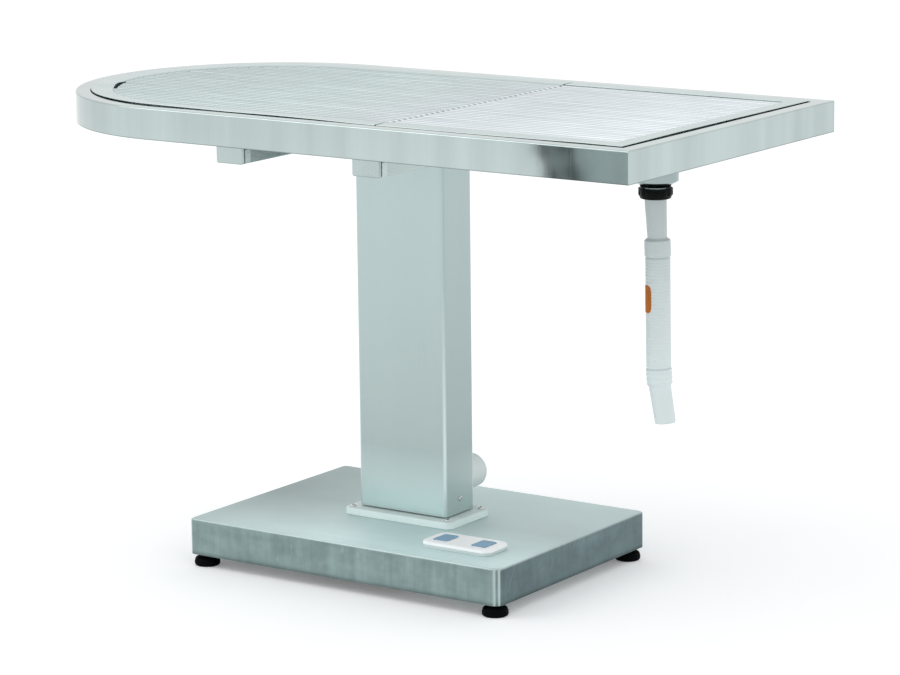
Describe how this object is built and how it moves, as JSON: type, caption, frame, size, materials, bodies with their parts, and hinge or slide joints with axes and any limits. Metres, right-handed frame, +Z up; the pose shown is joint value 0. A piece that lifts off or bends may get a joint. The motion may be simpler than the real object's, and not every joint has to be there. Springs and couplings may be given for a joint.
{
  "type": "veterinary examination table",
  "caption": "Wet examination table with a half-round end, lift-out rod grates over a drained pan, an electric lifting column, a drain hose and a foot switch on a low base.",
  "frame": {"origin": "floor level under the middle of the top", "axes": "+X towards the square end with the drain, -Y towards the side with the foot switch, +Z up"},
  "size_m": [1.2, 0.62, 0.768],
  "materials": {
    "satin_steel": "fine satin",
    "base_steel": "satin",
    "plain_steel": "drawn",
    "dark_paint": "matt",
    "pale_plastic": "semi-gloss",
    "white_plastic": "semi-gloss",
    "blue_pad": "matt",
    "black_rubber": "matt",
    "black_plastic": "satin",
    "slide_plastic": "matt"
  },
  "bodies": {
    "base": {"base_cover": "base_steel", "base_skirt": "base_steel", "base_frame": "dark_paint", "column_plate": "dark_paint", "control_box": "black_plastic", "mains_inlet": "black_plastic", "column_flange": "satin_steel", "inner_column": "plain_steel", "guide_upper": "slide_plastic", "actuator_gearbox": "dark_paint", "drive_motor": "pale_plastic", "actuator_tube": "plain_steel", "tube_gland": "black_plastic", "switch_housing": "white_plastic", "switch_plate": "plain_steel", "micro_switch_up": "black_plastic", "micro_switch_down": "black_plastic"},
    "lift": {"column_sleeve": "satin_steel", "guide_lower": "slide_plastic", "drive_nut": "slide_plastic", "push_tube": "plain_steel", "head_plate": "plain_steel", "cross_beam_left": "satin_steel", "cross_beam_right": "satin_steel", "beam_cap_left_front": "satin_steel", "beam_cap_left_back": "satin_steel", "beam_cap_right_front": "satin_steel", "beam_cap_right_back": "satin_steel", "rim_frame": "satin_steel", "tray_floor": "satin_steel", "tray_wall": "satin_steel", "drain_strainer": "satin_steel", "drain_seal": "black_rubber", "drain_cup": "satin_steel", "neck_seal": "black_rubber", "union_nut": "black_plastic", "hose_upper_cuff": "white_plastic", "hose_body": "white_plastic", "hose_lower_cuff": "white_plastic"},
    "spindle": {"spindle": "plain_steel"},
    "grate_round": {"grate_round": "satin_steel"},
    "grate_square": {"grate_square": "satin_steel"},
    "button_up": {"button_up": "blue_pad"},
    "button_down": {"button_down": "blue_pad"},
    "foot_front_left": {"foot_pad_front_left": "black_rubber", "foot_stud_front_left": "plain_steel"},
    "foot_front_right": {"foot_pad_front_right": "black_rubber", "foot_stud_front_right": "plain_steel"},
    "foot_back_right": {"foot_pad_back_right": "black_rubber", "foot_stud_back_right": "plain_steel"},
    "foot_back_left": {"foot_pad_back_left": "black_rubber", "foot_stud_back_left": "plain_steel"}
  },
  "joints": [
    {"name": "lift_slide", "type": "slide", "parent": "base", "child": "lift", "axis": [0, 0, 1], "range_m": [0, 0.3]},
    {"name": "spindle_turn", "type": "hinge", "parent": "base", "child": "spindle", "pos_m": [0.004, 0, 0.3], "axis": [0, 0, 1], "continuous": true},
    {"name": "grate_round_lift", "type": "slide", "parent": "lift", "child": "grate_round", "axis": [0, 0, 1], "range_m": [0, 0.12]},
    {"name": "grate_square_lift", "type": "slide", "parent": "lift", "child": "grate_square", "axis": [0, 0, 1], "range_m": [0, 0.12]},
    {"name": "button_up_press", "type": "slide", "parent": "base", "child": "button_up", "axis": [0, 0, -1], "range_m": [0, 0.0015], "stiffness_N_per_m": 1200, "springref_m": -0.003},
    {"name": "button_down_press", "type": "slide", "parent": "base", "child": "button_down", "axis": [0, 0, -1], "range_m": [0, 0.0015], "stiffness_N_per_m": 1200, "springref_m": -0.003},
    {"name": "foot_front_left_level", "type": "slide", "parent": "base", "child": "foot_front_left", "axis": [0, 0, 1], "range_m": [-0.012, 0]},
    {"name": "foot_front_right_level", "type": "slide", "parent": "base", "child": "foot_front_right", "axis": [0, 0, 1], "range_m": [-0.012, 0]},
    {"name": "foot_back_right_level", "type": "slide", "parent": "base", "child": "foot_back_right", "axis": [0, 0, 1], "range_m": [-0.012, 0]},
    {"name": "foot_back_left_level", "type": "slide", "parent": "base", "child": "foot_back_left", "axis": [0, 0, 1], "range_m": [-0.012, 0]}
  ],
  "couplings": [
    {"joint": "spindle_turn", "follows": "lift_slide", "rad_per_m": 628.32}
  ]
}
